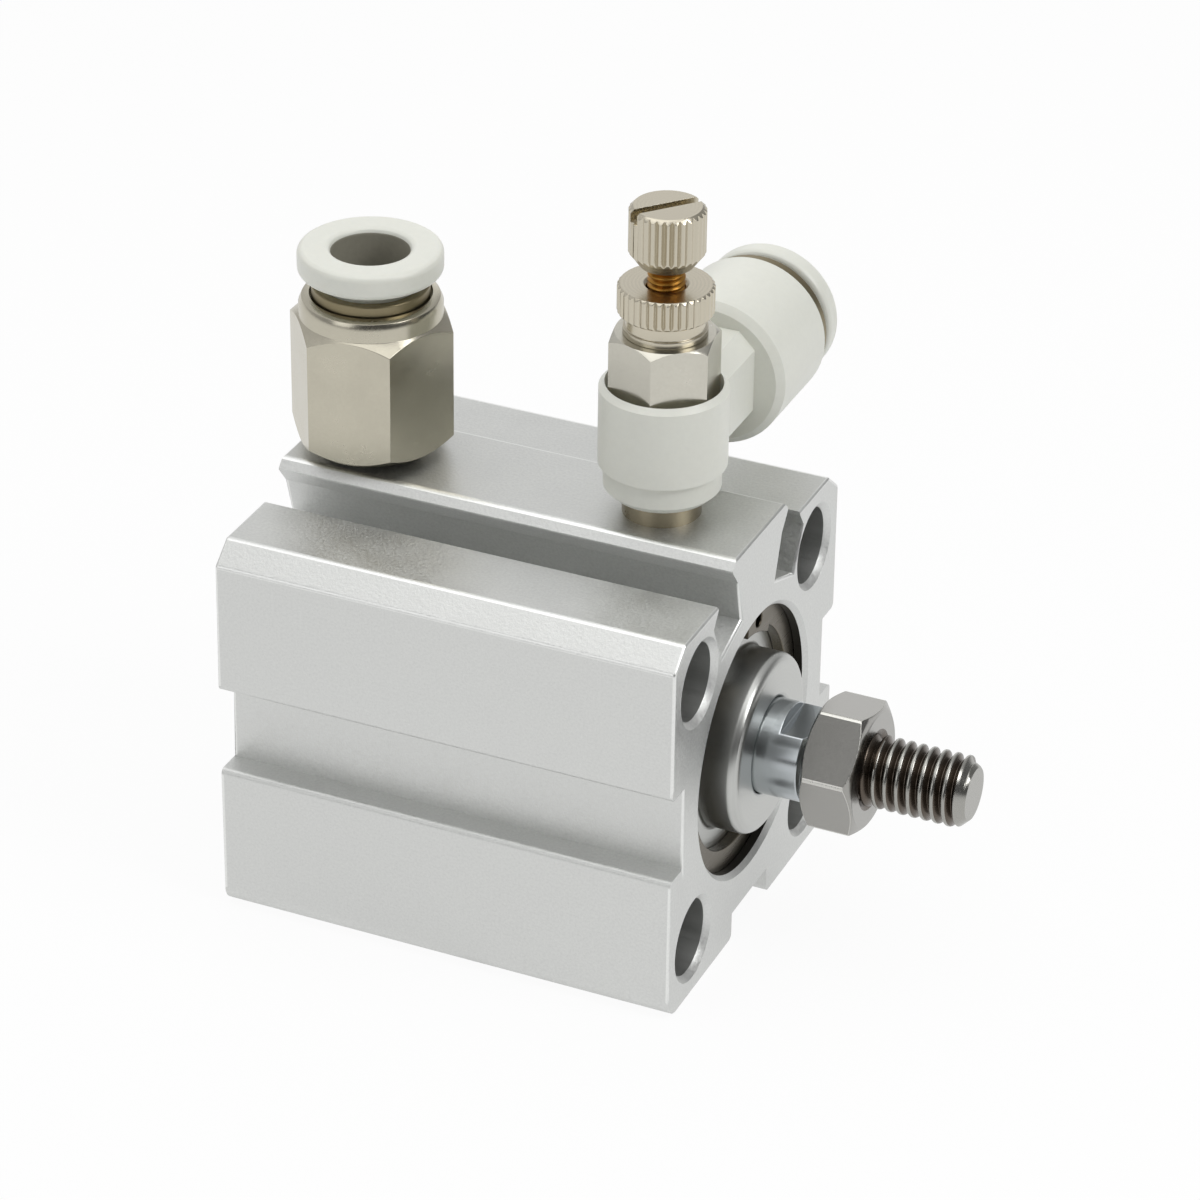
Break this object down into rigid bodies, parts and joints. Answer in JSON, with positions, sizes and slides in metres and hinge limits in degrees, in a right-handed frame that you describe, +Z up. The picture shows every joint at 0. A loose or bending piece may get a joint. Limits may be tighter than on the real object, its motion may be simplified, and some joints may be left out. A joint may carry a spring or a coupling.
{
  "type": "compact pneumatic cylinder",
  "caption": "Compact double-acting air cylinder with a slotted aluminium barrel, threaded rod end with lock nut, straight push-in connector and swivel elbow speed controller.",
  "frame": {"origin": "on the rod's axis, in the plane of the barrel's front face, at the centre of the front bolt holes", "axes": "+X out along the rod, +Z up through the ports, +Y the way the elbow points at rest"},
  "size_m": [0.0602, 0.0398, 0.0632],
  "materials": {
    "anodised_aluminium": "bead blasted and clear anodised",
    "turned_aluminium": "fine turned",
    "spring_steel": "stamped and plated",
    "chromed_steel": "ground and hard chromed",
    "plated_steel": "zinc plated, satin",
    "nickel_brass": "nickel plated, satin",
    "raw_brass": "turned, slightly dull",
    "bearing_bronze": "sintered",
    "bearing_plastic": "filled, matte",
    "black_rubber": "matte",
    "white_plastic": "moulded, satin"
  },
  "bodies": {
    "cylinder": {"barrel": "anodised_aluminium", "front_cover": "turned_aluminium", "rear_cover": "turned_aluminium", "front_retaining_ring": "spring_steel", "rear_retaining_ring": "spring_steel", "front_cover_o_ring": "black_rubber", "rear_cover_o_ring": "black_rubber", "rod_seal": "black_rubber", "rod_bush": "bearing_bronze", "connector_gasket": "black_rubber", "connector_body": "nickel_brass", "connector_tube_seal": "black_rubber", "connector_collet": "spring_steel", "connector_guide_ring": "nickel_brass", "controller_gasket": "black_rubber", "controller_stem": "nickel_brass", "stem_lower_o_ring": "black_rubber", "stem_upper_o_ring": "black_rubber", "check_seal": "black_rubber", "needle_guide": "nickel_brass"},
    "piston_packing": {"piston_seal": "black_rubber", "wear_ring": "bearing_plastic"},
    "rod": {"piston_rod": "chromed_steel", "piston": "turned_aluminium", "front_bumper": "black_rubber", "rear_bumper": "black_rubber", "piston_screw": "plated_steel", "rod_end_stud": "plated_steel"},
    "nut": {"rod_nut": "plated_steel"},
    "connector_collar": {"connector_release_collar": "white_plastic"},
    "elbow": {"elbow_body": "white_plastic", "elbow_tube_seal": "black_rubber", "elbow_collet": "spring_steel", "elbow_guide_ring": "nickel_brass"},
    "elbow_collar": {"elbow_release_collar": "white_plastic"},
    "needle": {"needle_screw": "raw_brass", "needle_o_ring": "black_rubber", "adjusting_knob": "nickel_brass"},
    "lock_ring": {"lock_ring": "nickel_brass"}
  },
  "joints": [
    {"name": "rod_stroke", "type": "slide", "parent": "cylinder", "child": "piston_packing", "axis": [1, 0, 0], "range_m": [0, 0.015]},
    {"name": "rod_turn", "type": "hinge", "parent": "piston_packing", "child": "rod", "pos_m": [0, 0, 0], "axis": [1, 0, 0], "continuous": true},
    {"name": "nut_turn", "type": "hinge", "parent": "rod", "child": "nut", "pos_m": [0.0081, 0, 0], "axis": [1, 0, 0], "continuous": true},
    {"name": "connector_release", "type": "slide", "parent": "cylinder", "child": "connector_collar", "axis": [0, 0, -1], "range_m": [0, 0.0008]},
    {"name": "elbow_swivel", "type": "hinge", "parent": "cylinder", "child": "elbow", "pos_m": [-0.0086, 0, 0.0272], "axis": [0, 0, 1], "range_deg": [-230, 50]},
    {"name": "elbow_release", "type": "slide", "parent": "elbow", "child": "elbow_collar", "axis": [0, -1, 0], "range_m": [0, 0.0008]},
    {"name": "knob_turn", "type": "hinge", "parent": "cylinder", "child": "needle", "pos_m": [-0.0086, 0, 0.044], "axis": [0, 0, 1], "range_deg": [-1260, 1440]},
    {"name": "lock_ring_turn", "type": "hinge", "parent": "cylinder", "child": "lock_ring", "pos_m": [-0.0086, 0, 0.038], "axis": [0, 0, 1], "continuous": true}
  ]
}
